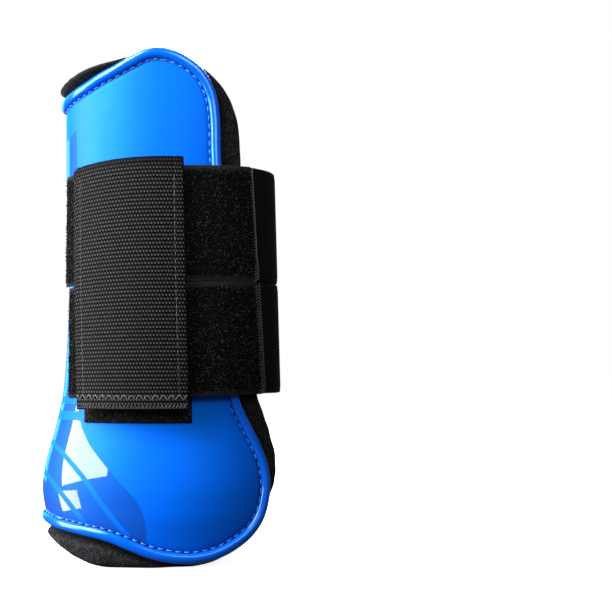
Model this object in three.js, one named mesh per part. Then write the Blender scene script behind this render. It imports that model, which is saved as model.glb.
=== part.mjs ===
// Open-front tendon boot for a horse's lower leg: the left one of a handed pair.
// Millimetres. +X is the open front, -Y the outer side that carries the closure, +Z up.
// Every layer is a patch of one common wrap surface, given a thickness along its normal.

import * as THREE from 'three';

// ---- Wrap surface: the outer face of the moulded shell ----
const WIDEST_X = 5;
const STRAP_ZONE_BOTTOM = 76;
const STRAP_ZONE_TOP = 181;
const FRONT_X_BOTTOM = 54.4;
const FRONT_X_TOP = 51.3;
const HALF_WIDTH_BOTTOM = 37.5;
const HALF_WIDTH_TOP = 36.7;
const FETLOCK_START = 76;
const FETLOCK_SPAN = 46;
const FETLOCK_FRONT_FLARE = 6.5;
const FETLOCK_SIDE_FLARE = 6;
const HEM_SPAN = 26;
const HEM_TUCK = 3;

// Back line of the leg in side view, as height and x.
const BACK_LINE = [
  [-5, -50], [16, -52.9], [32, -55.8], [46, -54.4], [62, -50],
  [80, -46.4], [128, -44.4], [177, -46.1], [245, -47],
];

// ---- Outlines in side view, as x and height, from the back of the hem to the back of the collar ----
const SHELL_HEM_BACK = 17.6;
const SHELL_COLLAR_BACK = 217.6;
const SHELL_OUTLINE = [
  [-43, 15.4], [-33.7, 14], [-23.8, 12], [-13.4, 8], [-5, 4.8], [5, 2.6], [14, 1.9],
  [21, 2.6], [28, 4.6], [35, 8.1], [41.5, 13], [46.8, 20.6], [49.4, 30], [49.7, 38],
  [48.4, 46], [45.4, 54], [41, 63], [35.4, 75.7], [32.8, 100], [30.4, 128],
  [27.8, 165], [26.4, 190], [25.9, 206], [23.8, 218],
  [18.3, 227.3], [12, 232.2], [4.9, 235.6], [-2.7, 237], [-9, 236], [-15.5, 233],
  [-22.9, 229.2], [-29.5, 226.2], [-37, 222.4],
];
const SHELL_HEM_CORNER = 12;
const SHELL_COLLAR_CORNER = 25;

const LINING_HEM_BACK = 12.4;
const LINING_COLLAR_BACK = 225.4;
const LINING_OUTLINE = [
  [-50, 9.8], [-43, 5.2], [-35, 1.6], [-28, 0], [-16, 0], [-4, 0], [6, 0], [16, 0],
  [26, 1.8], [36, 6.6], [45, 15.5], [51.2, 27], [54.9, 37], [55.7, 43], [54.9, 50.5],
  [52.4, 60], [49.1, 69.5], [46, 79], [43, 100], [40.5, 128], [38.2, 165], [37.8, 190],
  [36.2, 206], [31.4, 217.8], [22.8, 226.8], [10, 231.6], [-4, 235], [-16, 234.4],
  [-25, 232.4], [-33, 230.8], [-41, 228.2],
];
const LINING_HEM_CORNER = 11;
const LINING_COLLAR_CORNER = 25;

// ---- Layers, as distances from the wrap surface ----
const SHELL_LAYER = [-1.8, 0];
const FOAM_LAYER = [-4.8, -2.4];
const LINING_LAYER = [-10.4, -5.6];
const LINING_RIM_LAYER = [-7.8, -0.8];
const LINING_RIM_RISE = [0.5, 5];
const FAR_STRAP_ZONE = [64, 74, 186, 196];
const FIXED_TAPE_LAYER = [0.5, 1.9];
const STRAP_HOOK_LAYER = [2.4, 3.5];
const STRAP_LAYER = [3.9, 5.8];
const FLAP_BACKING_LAYER = [6.2, 7.3];
const FLAP_LAYER = [7.7, 9.2];
const ELASTIC_ROOT_DEPTH = 5;
const ELASTIC_THICKNESS = 1.9;

// ---- Rim piping along the shell's edge ----
const PIPING_HALF_WIDTH = 2.4;
const PIPING_HALF_HEIGHT = 2.1;
const PIPING_INSET = 2.5;
const PIPING_CENTRE = 0.1;
const PIPING_SIDES = 8;
const PIPING_STEPS = 96;
const SHELL_INSET = 5.5;
const FOAM_INSET = 9;

// ---- Closure ----
const SEAM_TURN_TOP = 130.5;
const SEAM_TURN_BOTTOM = 137;
const SEAM_GAP_TURN = 0.8;
const ROOT_TURN_TOP = 119.6;
const ROOT_TURN_BOTTOM = 130.6;
const ELASTIC_RAMP = [148, 215];
const STRAPS = [
  {
    name: 'upper', endX: -40.2, hookEndX: -37, strapColumns: 24,
    lowEdge: [127.4, 129.9], highEdge: [178.2, 183.2],
  },
  {
    name: 'lower', endX: -38.6, hookEndX: -35, strapColumns: 23,
    lowEdge: [76, 77.8], highEdge: [126.2, 129.5],
  },
];
const HOOK_FRONT_X = 15;
const HOOK_MARGIN = 2;
const FIXED_TAPE_X = [-34.6, 13.6];
const FIXED_TAPE_Z = [64.8, 182];
const FLAP_BACK_X = [-32.8, -35.2];
const FLAP_FRONT_X = [11.6, 8.6];
const FLAP_BOTTOM = 71;
const FLAP_TOP = [180.4, 184.8];
const FLAP_ROOT_BOTTOM = 161;
const FLAP_ROOT_DROP = 0.6;
const FLAP_HOOK_Z = [73, 158];
const FLAP_HOOK_MARGIN_X = 2;

const MEAN_RADIUS = 45;
const DEGREE = Math.PI / 180;

const { lerp, smoothstep } = THREE.MathUtils;

// ---------------------------------------------------------------------------
// Wrap surface
// ---------------------------------------------------------------------------

// Smooth curve through hand-set stations, with finite-difference slopes.
function profile(stations, at) {
  const last = stations.length - 2;
  let i = 0;
  while (i < last && at > stations[i + 1][0]) i += 1;
  const slope = (k) => {
    const a = stations[Math.max(k - 1, 0)];
    const b = stations[Math.min(k + 1, stations.length - 1)];
    return (b[1] - a[1]) / (b[0] - a[0]);
  };
  const [z0, x0] = stations[i];
  const [z1, x1] = stations[i + 1];
  const span = z1 - z0;
  const f = (at - z0) / span;
  const f2 = f * f;
  const f3 = f2 * f;
  return (
    x0 * (2 * f3 - 3 * f2 + 1)
    + slope(i) * span * (f3 - 2 * f2 + f)
    + x1 * (3 * f2 - 2 * f3)
    + slope(i + 1) * span * (f3 - f2)
  );
}

function fetlock(z) {
  return smoothstep(FETLOCK_START - z, 0, FETLOCK_SPAN);
}

function zoneFraction(z) {
  return (z - STRAP_ZONE_BOTTOM) / (STRAP_ZONE_TOP - STRAP_ZONE_BOTTOM);
}

function backX(z) {
  return profile(BACK_LINE, z);
}

function frontX(z) {
  return lerp(FRONT_X_BOTTOM, FRONT_X_TOP, zoneFraction(z)) + FETLOCK_FRONT_FLARE * fetlock(z);
}

function halfWidth(z) {
  const straight = lerp(HALF_WIDTH_BOTTOM, HALF_WIDTH_TOP, zoneFraction(z));
  const tuck = HEM_TUCK * smoothstep(HEM_SPAN - z, 0, HEM_SPAN);
  return straight + FETLOCK_SIDE_FLARE * fetlock(z) - tuck;
}

// Half-length of the plan section, behind or ahead of its widest line.
function reach(turn, z) {
  return Math.cos(turn) > 0 ? WIDEST_X - backX(z) : frontX(z) - WIDEST_X;
}

// Point at an angle round the leg (0 at the back, positive towards the outer side),
// a height, and a distance out from the wrap surface.
function surface(turn, z, out) {
  const length = reach(turn, z);
  const width = halfWidth(z);
  const normal = new THREE.Vector2(-Math.cos(turn) / length, -Math.sin(turn) / width).normalize();
  return new THREE.Vector3(
    WIDEST_X - length * Math.cos(turn) + out * normal.x,
    -width * Math.sin(turn) + out * normal.y,
    z,
  );
}

// Angle of the outer side's point that has a given x in side view.
function turnAt(x, z) {
  const length = x < WIDEST_X ? WIDEST_X - backX(z) : frontX(z) - WIDEST_X;
  return Math.acos(THREE.MathUtils.clamp((WIDEST_X - x) / length, -1, 1));
}

// Millimetres along the surface for one radian of turn.
function turnSpeed(turn, z) {
  const step = 0.01;
  return surface(turn + step, z, 0).distanceTo(surface(turn - step, z, 0)) / (2 * step);
}

// ---------------------------------------------------------------------------
// Solids
// ---------------------------------------------------------------------------

// Closed mesh from triangles of points, turned so that its faces point out.
function closedMesh(name, points, triangles, material) {
  let volume = 0;
  for (const [a, b, c] of triangles) {
    volume += points[a].dot(points[b].clone().cross(points[c]));
  }
  const order = volume > 0 ? triangles : triangles.map(([a, b, c]) => [a, c, b]);
  const geometry = new THREE.BufferGeometry().setFromPoints(points);
  geometry.setIndex(order.flat());
  geometry.computeVertexNormals();
  const mesh = new THREE.Mesh(geometry, material);
  mesh.name = name;
  return mesh;
}

// Slab between two grids of the same size, one over the other.
function slab(name, outer, inner, material) {
  const rows = outer.length;
  const columns = outer[0].length;
  const points = [...outer.flat(), ...inner.flat()];
  const layer = rows * columns;
  const index = (row, column, side) => side * layer + row * columns + column;
  const triangles = [];
  const quad = (a, b, c, d) => triangles.push([a, b, c], [a, c, d]);
  for (let r = 0; r < rows - 1; r += 1) {
    for (let c = 0; c < columns - 1; c += 1) {
      quad(index(r, c, 0), index(r, c + 1, 0), index(r + 1, c + 1, 0), index(r + 1, c, 0));
      quad(index(r, c, 1), index(r + 1, c, 1), index(r + 1, c + 1, 1), index(r, c + 1, 1));
    }
  }
  for (let c = 0; c < columns - 1; c += 1) {
    quad(index(0, c, 0), index(0, c, 1), index(0, c + 1, 1), index(0, c + 1, 0));
    const top = rows - 1;
    quad(index(top, c, 0), index(top, c + 1, 0), index(top, c + 1, 1), index(top, c, 1));
  }
  for (let r = 0; r < rows - 1; r += 1) {
    quad(index(r, 0, 0), index(r + 1, 0, 0), index(r + 1, 0, 1), index(r, 0, 1));
    const end = columns - 1;
    quad(index(r, end, 0), index(r, end, 1), index(r + 1, end, 1), index(r + 1, end, 0));
  }
  return closedMesh(name, points, triangles, material);
}

// ---------------------------------------------------------------------------
// Free-form outlines, drawn on the unrolled surface as (turn * MEAN_RADIUS, height)
// ---------------------------------------------------------------------------

// Closed loop round both sides; it starts at the back of the hem and runs round the outer side first.
function outlineLoop(sidePoints, hemBack, collarBack) {
  const side = sidePoints.map(([x, z]) => new THREE.Vector3(turnAt(x, z) * MEAN_RADIUS, z, 0));
  const mirrored = side.map((p) => new THREE.Vector3(-p.x, p.y, 0)).reverse();
  const hem = new THREE.Vector3(0, hemBack, 0);
  const collar = new THREE.Vector3(0, collarBack, 0);
  return new THREE.CatmullRomCurve3([hem, ...side, collar, ...mirrored], true);
}

// Point of the loop moved inwards along the surface.
function insetPoint(loop, at, inset) {
  const point = loop.getPoint(at);
  const tangent = loop.getTangent(at);
  const turn = point.x / MEAN_RADIUS;
  const stretch = turnSpeed(turn, point.y) / MEAN_RADIUS;
  const alongMm = tangent.x * stretch;
  const size = Math.hypot(alongMm, tangent.y);
  return new THREE.Vector2(
    (point.x - (inset * tangent.y) / (size * stretch)) / MEAN_RADIUS,
    Math.max(point.y + (inset * alongMm) / size, 0),
  );
}

// Evenly spaced points of one stretch of the loop.
function stretchPoints(loop, from, to, inset, count) {
  const fine = [];
  const fineSteps = 240;
  for (let i = 0; i <= fineSteps; i += 1) {
    fine.push(insetPoint(loop, lerp(from, to, i / fineSteps), inset));
  }
  const lengths = [0];
  for (let i = 1; i <= fineSteps; i += 1) {
    const du = (fine[i].x - fine[i - 1].x) * MEAN_RADIUS;
    lengths.push(lengths[i - 1] + Math.hypot(du, fine[i].y - fine[i - 1].y));
  }
  const points = [];
  let k = 0;
  for (let i = 0; i <= count; i += 1) {
    const target = (lengths[fineSteps] * i) / count;
    while (k < fineSteps - 1 && lengths[k + 1] < target) k += 1;
    const f = (target - lengths[k]) / (lengths[k + 1] - lengths[k]);
    points.push(fine[k].clone().lerp(fine[k + 1], THREE.MathUtils.clamp(f, 0, 1)));
  }
  return points;
}

// Grid of turns and heights that fills the outline on both sides of the leg.
function wrapGrid(shape, inset, columns, rows) {
  const { loop, stations, hemCorner, collarCorner } = shape;
  const hem = stretchPoints(loop, 0, hemCorner / stations, inset, columns);
  const front = stretchPoints(loop, hemCorner / stations, collarCorner / stations, inset, rows);
  const collar = stretchPoints(loop, collarCorner / stations, 0.5, inset, columns).reverse();
  const grid = [];
  for (let r = 0; r <= rows; r += 1) {
    const v = r / rows;
    const backZ = lerp(hem[0].y, collar[0].y, v);
    const half = [];
    for (let c = 0; c <= columns; c += 1) {
      const u = c / columns;
      const blend = (key, back) => (
        (1 - v) * hem[c][key] + v * collar[c][key]
        + (1 - u) * back + u * front[r][key]
        - (1 - u) * ((1 - v) * hem[0][key] + v * collar[0][key])
        - u * ((1 - v) * hem[columns][key] + v * collar[columns][key])
      );
      half.push([c === 0 ? 0 : blend('x', 0), Math.max(blend('y', backZ), 0)]);
    }
    const far = half.slice(1).map(([turn, z]) => [-turn, z]).reverse();
    grid.push([...far, ...half]);
  }
  return grid;
}

function wrapSlab(name, grid, layer, material) {
  const skin = (out) => grid.map((row) => row.map(([turn, z]) => (
    surface(turn, z, typeof out === 'function' ? out(turn, z) : out)
  )));
  return slab(name, skin(layer[1]), skin(layer[0]), material);
}

function shapeOf(outline, hemBack, collarBack, hemCorner, collarCorner) {
  return {
    loop: outlineLoop(outline, hemBack, collarBack),
    stations: 2 * (outline.length + 1),
    hemCorner,
    collarCorner,
  };
}

// Millimetres outside an outline, negative inside it.
function distanceOutside(loop) {
  const corners = loop.getPoints(300);
  return (turn, z) => {
    const x = turn * MEAN_RADIUS;
    let nearest = Infinity;
    let inside = false;
    for (let i = 0; i < corners.length - 1; i += 1) {
      const a = corners[i];
      const b = corners[i + 1];
      const [dx, dz] = [b.x - a.x, b.y - a.y];
      const along = THREE.MathUtils.clamp(((x - a.x) * dx + (z - a.y) * dz) / (dx * dx + dz * dz), 0, 1);
      nearest = Math.min(nearest, Math.hypot(x - a.x - along * dx, z - a.y - along * dz));
      if ((a.y > z) !== (b.y > z) && x < a.x + (dx * (z - a.y)) / dz) inside = !inside;
    }
    return inside ? -nearest : nearest;
  };
}

// The lining swells where it stands out past the shell, but lies flat under the far ends of the straps.
function liningLayer(outsideShell) {
  const [low, lowEnd, highEnd, high] = FAR_STRAP_ZONE;
  const [riseStart, riseEnd] = LINING_RIM_RISE;
  const rim = (turn, z) => {
    const strapped = smoothstep(z, low, lowEnd) * (1 - smoothstep(z, highEnd, high));
    const free = turn < 0 ? 1 - strapped : 1;
    return free * smoothstep(outsideShell(turn, z), riseStart, riseEnd);
  };
  return [0, 1].map((side) => (turn, z) => (
    lerp(LINING_LAYER[side], LINING_RIM_LAYER[side], rim(turn, z))
  ));
}

// Bead of oval section that follows the shell's edge all the way round.
function rimPiping(shape, material) {
  const points = [];
  const triangles = [];
  for (let i = 0; i < PIPING_STEPS; i += 1) {
    const at = shape.loop.getUtoTmapping(i / PIPING_STEPS);
    for (let k = 0; k < PIPING_SIDES; k += 1) {
      const angle = (2 * Math.PI * k) / PIPING_SIDES;
      const inset = PIPING_INSET + PIPING_HALF_WIDTH * Math.cos(angle);
      const flat = insetPoint(shape.loop, at, inset);
      points.push(surface(flat.x, flat.y, PIPING_CENTRE + PIPING_HALF_HEIGHT * Math.sin(angle)));
    }
  }
  for (let i = 0; i < PIPING_STEPS; i += 1) {
    const next = (i + 1) % PIPING_STEPS;
    for (let k = 0; k < PIPING_SIDES; k += 1) {
      const m = (k + 1) % PIPING_SIDES;
      const [a, b] = [i * PIPING_SIDES + k, i * PIPING_SIDES + m];
      const [c, d] = [next * PIPING_SIDES + m, next * PIPING_SIDES + k];
      triangles.push([a, b, c], [a, c, d]);
    }
  }
  return closedMesh('rim_piping', points, triangles, material);
}

// ---------------------------------------------------------------------------
// Bands: tapes, straps and the flap
// ---------------------------------------------------------------------------

// Band between two ends and two edges. An end gives a turn for a height, an edge a height for a fraction.
function band(name, ends, edges, layer, columns, rows, material) {
  const skin = (out) => {
    const grid = [];
    for (let r = 0; r <= rows; r += 1) {
      const row = [];
      for (let c = 0; c <= columns; c += 1) {
        const f = c / columns;
        const z = lerp(edges[0](f), edges[1](f), r / rows);
        const turn = lerp(ends[0](z), ends[1](z), f);
        row.push(surface(turn, z, typeof out === 'function' ? out(turn) : out));
      }
      grid.push(row);
    }
    return grid;
  };
  return slab(name, skin(layer[1]), skin(layer[0]), material);
}

const slanted = (topTurn, bottomTurn) => (z) => lerp(bottomTurn, topTurn, zoneFraction(z)) * DEGREE;
const sloped = ([start, end]) => (f) => lerp(start, end, f);
const level = (z) => () => z;
const atX = (x) => (z) => turnAt(x, z);

// A side of the flap runs straight from its x at the bottom to its x at the top.
const flapSide = (sideX, margin) => (z) => (
  turnAt(lerp(...sideX, (z - FLAP_BOTTOM) / (FLAP_TOP[1] - FLAP_BOTTOM)) + margin, z)
);
const flapBack = flapSide(FLAP_BACK_X, 0);
const flapFront = flapSide(FLAP_FRONT_X, 0);

const seamTurn = slanted(SEAM_TURN_TOP, SEAM_TURN_BOTTOM);
const elasticStart = slanted(SEAM_TURN_TOP + SEAM_GAP_TURN, SEAM_TURN_BOTTOM + SEAM_GAP_TURN);
const rootTurn = slanted(360 - ROOT_TURN_TOP, 360 - ROOT_TURN_BOTTOM);

// The elastic lies low over the far edge and rises to the strap's level on the near side.
function elasticDepth(turn) {
  const [start, end] = ELASTIC_RAMP;
  const rise = smoothstep(end - turn / DEGREE, 0, end - start);
  return lerp(-ELASTIC_ROOT_DEPTH, STRAP_LAYER[0], rise);
}

function strapPieces(strap, materials) {
  const { name, endX, hookEndX, strapColumns, lowEdge, highEdge } = strap;
  const edges = [sloped(lowEdge), sloped(highEdge)];
  const elasticEdges = [level(lowEdge[1]), level(highEdge[1])];
  const elasticLayer = [elasticDepth, (turn) => elasticDepth(turn) + ELASTIC_THICKNESS];
  const hookEdges = [level(lowEdge[1] + HOOK_MARGIN), level(highEdge[0] - HOOK_MARGIN)];
  return [
    band(`${name}_elastic`, [elasticStart, rootTurn], elasticEdges, elasticLayer, 24, 2, materials.elastic),
    band(`${name}_loop_strap`, [atX(endX), seamTurn], edges, STRAP_LAYER, strapColumns, 4, materials.loop),
    band(
      `${name}_hook_tape`, [atX(hookEndX), atX(HOOK_FRONT_X)], hookEdges,
      STRAP_HOOK_LAYER, 12, 3, materials.hook,
    ),
  ];
}

function flapPieces(materials) {
  const ends = [flapBack, flapFront];
  const hookEnds = [flapSide(FLAP_BACK_X, FLAP_HOOK_MARGIN_X), flapSide(FLAP_FRONT_X, -FLAP_HOOK_MARGIN_X)];
  const top = sloped(FLAP_TOP);
  const rootTop = (f) => top(f) - FLAP_ROOT_DROP;
  return [
    band('flap_sewn_root', ends, [level(FLAP_ROOT_BOTTOM), rootTop], FLAP_BACKING_LAYER, 10, 2, materials.web),
    band('cover_flap', ends, [level(FLAP_BOTTOM), top], FLAP_LAYER, 10, 8, materials.web),
    band('flap_hook_tape', hookEnds, FLAP_HOOK_Z.map(level), FLAP_BACKING_LAYER, 10, 6, materials.hook),
  ];
}

// ---------------------------------------------------------------------------
// Hinge lines, as a point and the direction of the axis
// ---------------------------------------------------------------------------

function lineThrough(from, to) {
  return { point: from.clone().lerp(to, 0.5), axis: to.clone().sub(from).normalize() };
}

function uprightLine(turnFor, out) {
  return lineThrough(
    surface(turnFor(STRAP_ZONE_BOTTOM), STRAP_ZONE_BOTTOM, out),
    surface(turnFor(STRAP_ZONE_TOP), STRAP_ZONE_TOP, out),
  );
}

// The flap turns about the line that touches its inner face at the fold, parallel to the fold's chord.
function foldLine() {
  const [lowZ, highZ] = FLAP_TOP;
  const left = surface(flapBack(lowZ), lowZ, FLAP_LAYER[0]);
  const right = surface(flapFront(highZ), highZ, FLAP_LAYER[0]);
  const axis = left.clone().sub(right).normalize();
  const outward = new THREE.Vector3(axis.y, -axis.x, 0).normalize().negate();
  let point = left;
  for (let i = 0; i <= 40; i += 1) {
    const z = lerp(lowZ, highZ, i / 40);
    const turn = lerp(flapBack(z), flapFront(z), i / 40);
    const p = surface(turn, z, FLAP_LAYER[0]);
    if (p.dot(outward) > point.dot(outward)) point = p;
  }
  return { point, axis };
}

// ---------------------------------------------------------------------------
// Materials and assembly
// ---------------------------------------------------------------------------

const finish = (color, roughness) => new THREE.MeshStandardMaterial({ color, roughness, metalness: 0 });

const materials = {
  shell: finish(0x0a84f0, 0.32),
  piping: finish(0x0a84f0, 0.15),
  foam: finish(0x3a3d42, 0.9),
  neoprene: finish(0x101113, 0.85),
  tape: finish(0x141415, 0.95),
  loop: finish(0x161617, 0.95),
  hook: finish(0x0f0f10, 0.7),
  elastic: finish(0x0c0c0e, 0.6),
  web: finish(0x1a1a1c, 0.7),
};

const shellShape = shapeOf(
  SHELL_OUTLINE, SHELL_HEM_BACK, SHELL_COLLAR_BACK, SHELL_HEM_CORNER, SHELL_COLLAR_CORNER,
);
const liningShape = shapeOf(
  LINING_OUTLINE, LINING_HEM_BACK, LINING_COLLAR_BACK, LINING_HEM_CORNER, LINING_COLLAR_CORNER,
);

const boot = new THREE.Group();
boot.add(
  wrapSlab('outer_shell', wrapGrid(shellShape, SHELL_INSET, 14, 20), SHELL_LAYER, materials.shell),
  rimPiping(shellShape, materials.piping),
  wrapSlab('shock_foam', wrapGrid(shellShape, FOAM_INSET, 12, 16), FOAM_LAYER, materials.foam),
  wrapSlab(
    'neoprene_lining', wrapGrid(liningShape, 0, 16, 22),
    liningLayer(distanceOutside(shellShape.loop)), materials.neoprene,
  ),
  band(
    'fixed_loop_tape', FIXED_TAPE_X.map(atX), FIXED_TAPE_Z.map(level),
    FIXED_TAPE_LAYER, 12, 8, materials.tape,
  ),
  ...STRAPS.flatMap((strap) => strapPieces(strap, materials)),
  ...flapPieces(materials),
);

// The origin is the middle of the boot's own box, at the height that it stands on.
const box = new THREE.Box3().setFromObject(boot);
const middle = box.getCenter(new THREE.Vector3());
boot.position.set(-middle.x, -middle.y, -box.min.z);

const group = new THREE.Group();
group.add(boot);
group.userData.hinges = {
  strapRoot: uprightLine(rootTurn, ELASTIC_THICKNESS - ELASTIC_ROOT_DEPTH),
  strapSeam: uprightLine(seamTurn, STRAP_LAYER[1]),
  flapFold: foldLine(),
  shift: boot.position.clone(),
};

export default group;
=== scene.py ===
"""Looks of the tendon boot: moulded blue shell, padded lining, straps, pile and webbing flap."""
import math
import bpy
import numpy as np
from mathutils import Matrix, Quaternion, Vector


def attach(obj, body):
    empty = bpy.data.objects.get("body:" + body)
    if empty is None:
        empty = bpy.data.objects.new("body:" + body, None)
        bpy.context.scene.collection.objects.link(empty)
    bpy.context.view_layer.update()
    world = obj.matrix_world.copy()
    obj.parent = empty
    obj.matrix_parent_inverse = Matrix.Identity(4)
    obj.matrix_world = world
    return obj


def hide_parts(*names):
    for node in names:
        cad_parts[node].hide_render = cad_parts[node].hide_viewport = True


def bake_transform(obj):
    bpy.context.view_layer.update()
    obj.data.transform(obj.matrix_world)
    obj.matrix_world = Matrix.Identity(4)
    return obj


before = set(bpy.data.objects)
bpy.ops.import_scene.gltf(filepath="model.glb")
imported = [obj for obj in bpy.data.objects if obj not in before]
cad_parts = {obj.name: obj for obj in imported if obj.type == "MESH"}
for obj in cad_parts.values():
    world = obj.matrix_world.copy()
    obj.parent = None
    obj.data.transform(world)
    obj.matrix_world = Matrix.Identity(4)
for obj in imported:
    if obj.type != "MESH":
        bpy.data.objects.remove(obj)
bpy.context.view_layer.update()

MM = 0.001

# ---------------------------------------------------------------------------
# Driving sizes of the wrap surface, in millimetres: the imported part's, but for one point of the
# lining's collar, which is fuller here beside the rim
# ---------------------------------------------------------------------------
CENTRING = (-0.57044, 1.52924)
WIDEST_X = 5.0
STRAP_ZONE = (76.0, 181.0)
FRONT_X = (54.4, 51.3)
HALF_WIDTH = (37.5, 36.7)
FETLOCK_START, FETLOCK_SPAN = 76.0, 46.0
FETLOCK_FRONT, FETLOCK_SIDE = 6.5, 6.0
HEM_SPAN, HEM_TUCK = 26.0, 3.0
BACK_LINE = [
    (-5, -50), (16, -52.9), (32, -55.8), (46, -54.4), (62, -50),
    (80, -46.4), (128, -44.4), (177, -46.1), (245, -47),
]
SHELL_BACK = (17.6, 217.6)
SHELL_OUTLINE = [
    (-43, 15.4), (-33.7, 14), (-23.8, 12), (-13.4, 8), (-5, 4.8), (5, 2.6), (14, 1.9),
    (21, 2.6), (28, 4.6), (35, 8.1), (41.5, 13), (46.8, 20.6), (49.4, 30), (49.7, 38),
    (48.4, 46), (45.4, 54), (41, 63), (35.4, 75.7), (32.8, 100), (30.4, 128),
    (27.8, 165), (26.4, 190), (25.9, 206), (23.8, 218),
    (18.3, 227.3), (12, 232.2), (4.9, 235.6), (-2.7, 237), (-9, 236), (-15.5, 233),
    (-22.9, 229.2), (-29.5, 226.2), (-37, 222.4),
]
SHELL_CORNERS = (12, 25)
LINING_BACK = (12.4, 225.4)
LINING_OUTLINE = [
    (-50, 9.8), (-43, 5.2), (-35, 1.6), (-28, 0), (-16, 0), (-4, 0), (6, 0), (16, 0),
    (26, 1.8), (36, 6.6), (45, 15.5), (51.2, 27), (54.9, 37), (55.7, 43), (54.9, 50.5),
    (52.4, 60), (49.1, 69.5), (46, 79), (43, 100), (40.5, 128), (38.2, 165), (37.8, 190),
    (36.2, 206), (31.4, 217.8), (22.8, 226.8), (15.5, 231), (-4, 235), (-16, 234.4),
    (-25, 232.4), (-33, 230.8), (-41, 228.2),
]
LINING_CORNERS = (11, 25)
MEAN_RADIUS = 45.0

SEAM_TURN = (137.0, 130.5)
ROOT_TURN = (360 - 130.6, 360 - 119.6)
ELASTIC_RAMP = (148.0, 215.0)
STRAP_BASE, STRAP_FACE = 3.9, 5.8
ELASTIC_DEPTH, ELASTIC_THICK = 5.0, 1.9
FLAP_FACE = 9.2
FLAP_BACK_X = (-32.8, -35.2)
FLAP_FRONT_X = (11.6, 8.6)
FLAP_BOTTOM = 71.0
FLAP_TOP = (180.4, 184.8)
FIXED_TAPE_X = (-34.6, 13.6)
FIXED_TAPE_Z = (64.8, 182.0)
HOOK_FRONT_X = 15.0
STRAPS = {  # seam_narrows is the height above which the seam threads are pulled in
    "upper": {
        "end_x": -40.2, "hook_x": -37.0, "low": (127.4, 129.9), "high": (178.2, 183.2),
        "middle": 154.0, "seam_narrows": 134.0, "pile_seed": 11,
    },
    "lower": {
        "end_x": -38.6, "hook_x": -35.0, "low": (76.0, 77.8), "high": (126.2, 129.5),
        "middle": 102.0, "seam_narrows": 200.0, "pile_seed": 12,
    },
}
JOIN_AHEAD = 4.0
STRAP_BEND, ELASTIC_BEND = 20.0, 26.0
STRAP_HOOKS = (2.4, 3.7)
FLAP_HOOKS = (6.2, 7.6)
FLAP_HOOKS_Z = (73.0, 158.0)
FLAP_WIDTH = 51.4
FLAP_ROW_INSET = 4.5
FLAP_BACK_LENGTH = 22.0
FLAP_FOLD_X = -11.0
WEB_FACE = FLAP_FACE - 0.7
FOLD_RADIUS = 0.85
RIB_PITCH = 1.8
DOT_PITCH = 1.35
PILE_DENSITY = 2.6


# ---------------------------------------------------------------------------
# Wrap surface
# ---------------------------------------------------------------------------
def lerp(a, b, f):
    return a + (b - a) * f


def smooth(x, low, high):
    f = np.clip((x - low) / (high - low), 0, 1)
    return f * f * (3 - 2 * f)


def back_x(z):
    zs, xs = np.array(BACK_LINE, float).T
    z = np.asarray(z, float)
    slopes = np.empty(len(zs))
    slopes[1:-1] = (xs[2:] - xs[:-2]) / (zs[2:] - zs[:-2])
    slopes[0] = (xs[1] - xs[0]) / (zs[1] - zs[0])
    slopes[-1] = (xs[-1] - xs[-2]) / (zs[-1] - zs[-2])
    i = np.clip(np.searchsorted(zs, z, side="left") - 1, 0, len(zs) - 2)
    span = zs[i + 1] - zs[i]
    f = (z - zs[i]) / span
    f2, f3 = f * f, f * f * f
    return (
        xs[i] * (2 * f3 - 3 * f2 + 1) + slopes[i] * span * (f3 - 2 * f2 + f)
        + xs[i + 1] * (3 * f2 - 2 * f3) + slopes[i + 1] * span * (f3 - f2)
    )


def zone(z):
    return (np.asarray(z, float) - STRAP_ZONE[0]) / (STRAP_ZONE[1] - STRAP_ZONE[0])


def fetlock(z):
    return smooth(FETLOCK_START - np.asarray(z, float), 0, FETLOCK_SPAN)


def front_x(z):
    return lerp(*FRONT_X, zone(z)) + FETLOCK_FRONT * fetlock(z)


def half_width(z):
    tuck = HEM_TUCK * smooth(HEM_SPAN - np.asarray(z, float), 0, HEM_SPAN)
    return lerp(*HALF_WIDTH, zone(z)) + FETLOCK_SIDE * fetlock(z) - tuck


def surface(turn, z, out):
    """Points in metres at angles round the leg, heights and distances out, all in arrays."""
    turn, z, out = np.broadcast_arrays(*(np.asarray(values, float) for values in (turn, z, out)))
    cos, sin = np.cos(turn), np.sin(turn)
    length = np.where(cos > 0, WIDEST_X - back_x(z), front_x(z) - WIDEST_X)
    width = half_width(z)
    nx, ny = -cos / length, -sin / width
    size = np.hypot(nx, ny)
    x = WIDEST_X - length * cos + out * nx / size + CENTRING[0]
    y = -width * sin + out * ny / size + CENTRING[1]
    return np.stack([x, y, z], -1) * MM


def turn_at(x, z):
    z = np.asarray(z, float)
    length = np.where(np.asarray(x) < WIDEST_X, WIDEST_X - back_x(z), front_x(z) - WIDEST_X)
    return np.arccos(np.clip((WIDEST_X - x) / length, -1, 1))


def side_x(turn, z):
    """x in side view, before centring."""
    cos = np.cos(turn)
    length = np.where(cos > 0, WIDEST_X - back_x(z), front_x(z) - WIDEST_X)
    return WIDEST_X - length * cos


def turn_speed(turn, z):
    step = 0.01
    gap = surface(turn + step, z, 0) - surface(turn - step, z, 0)
    return np.linalg.norm(gap, axis=-1) / MM / (2 * step)


def run_along(points):
    """Millimetres run so far at each of a line of points."""
    return np.concatenate([[0], np.cumsum(np.linalg.norm(np.diff(points, axis=0), axis=1))]) / MM


def normals(turn, z):
    step = surface(turn, z, 1) - surface(turn, z, 0)
    return step / np.linalg.norm(step, axis=-1, keepdims=True)


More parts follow.
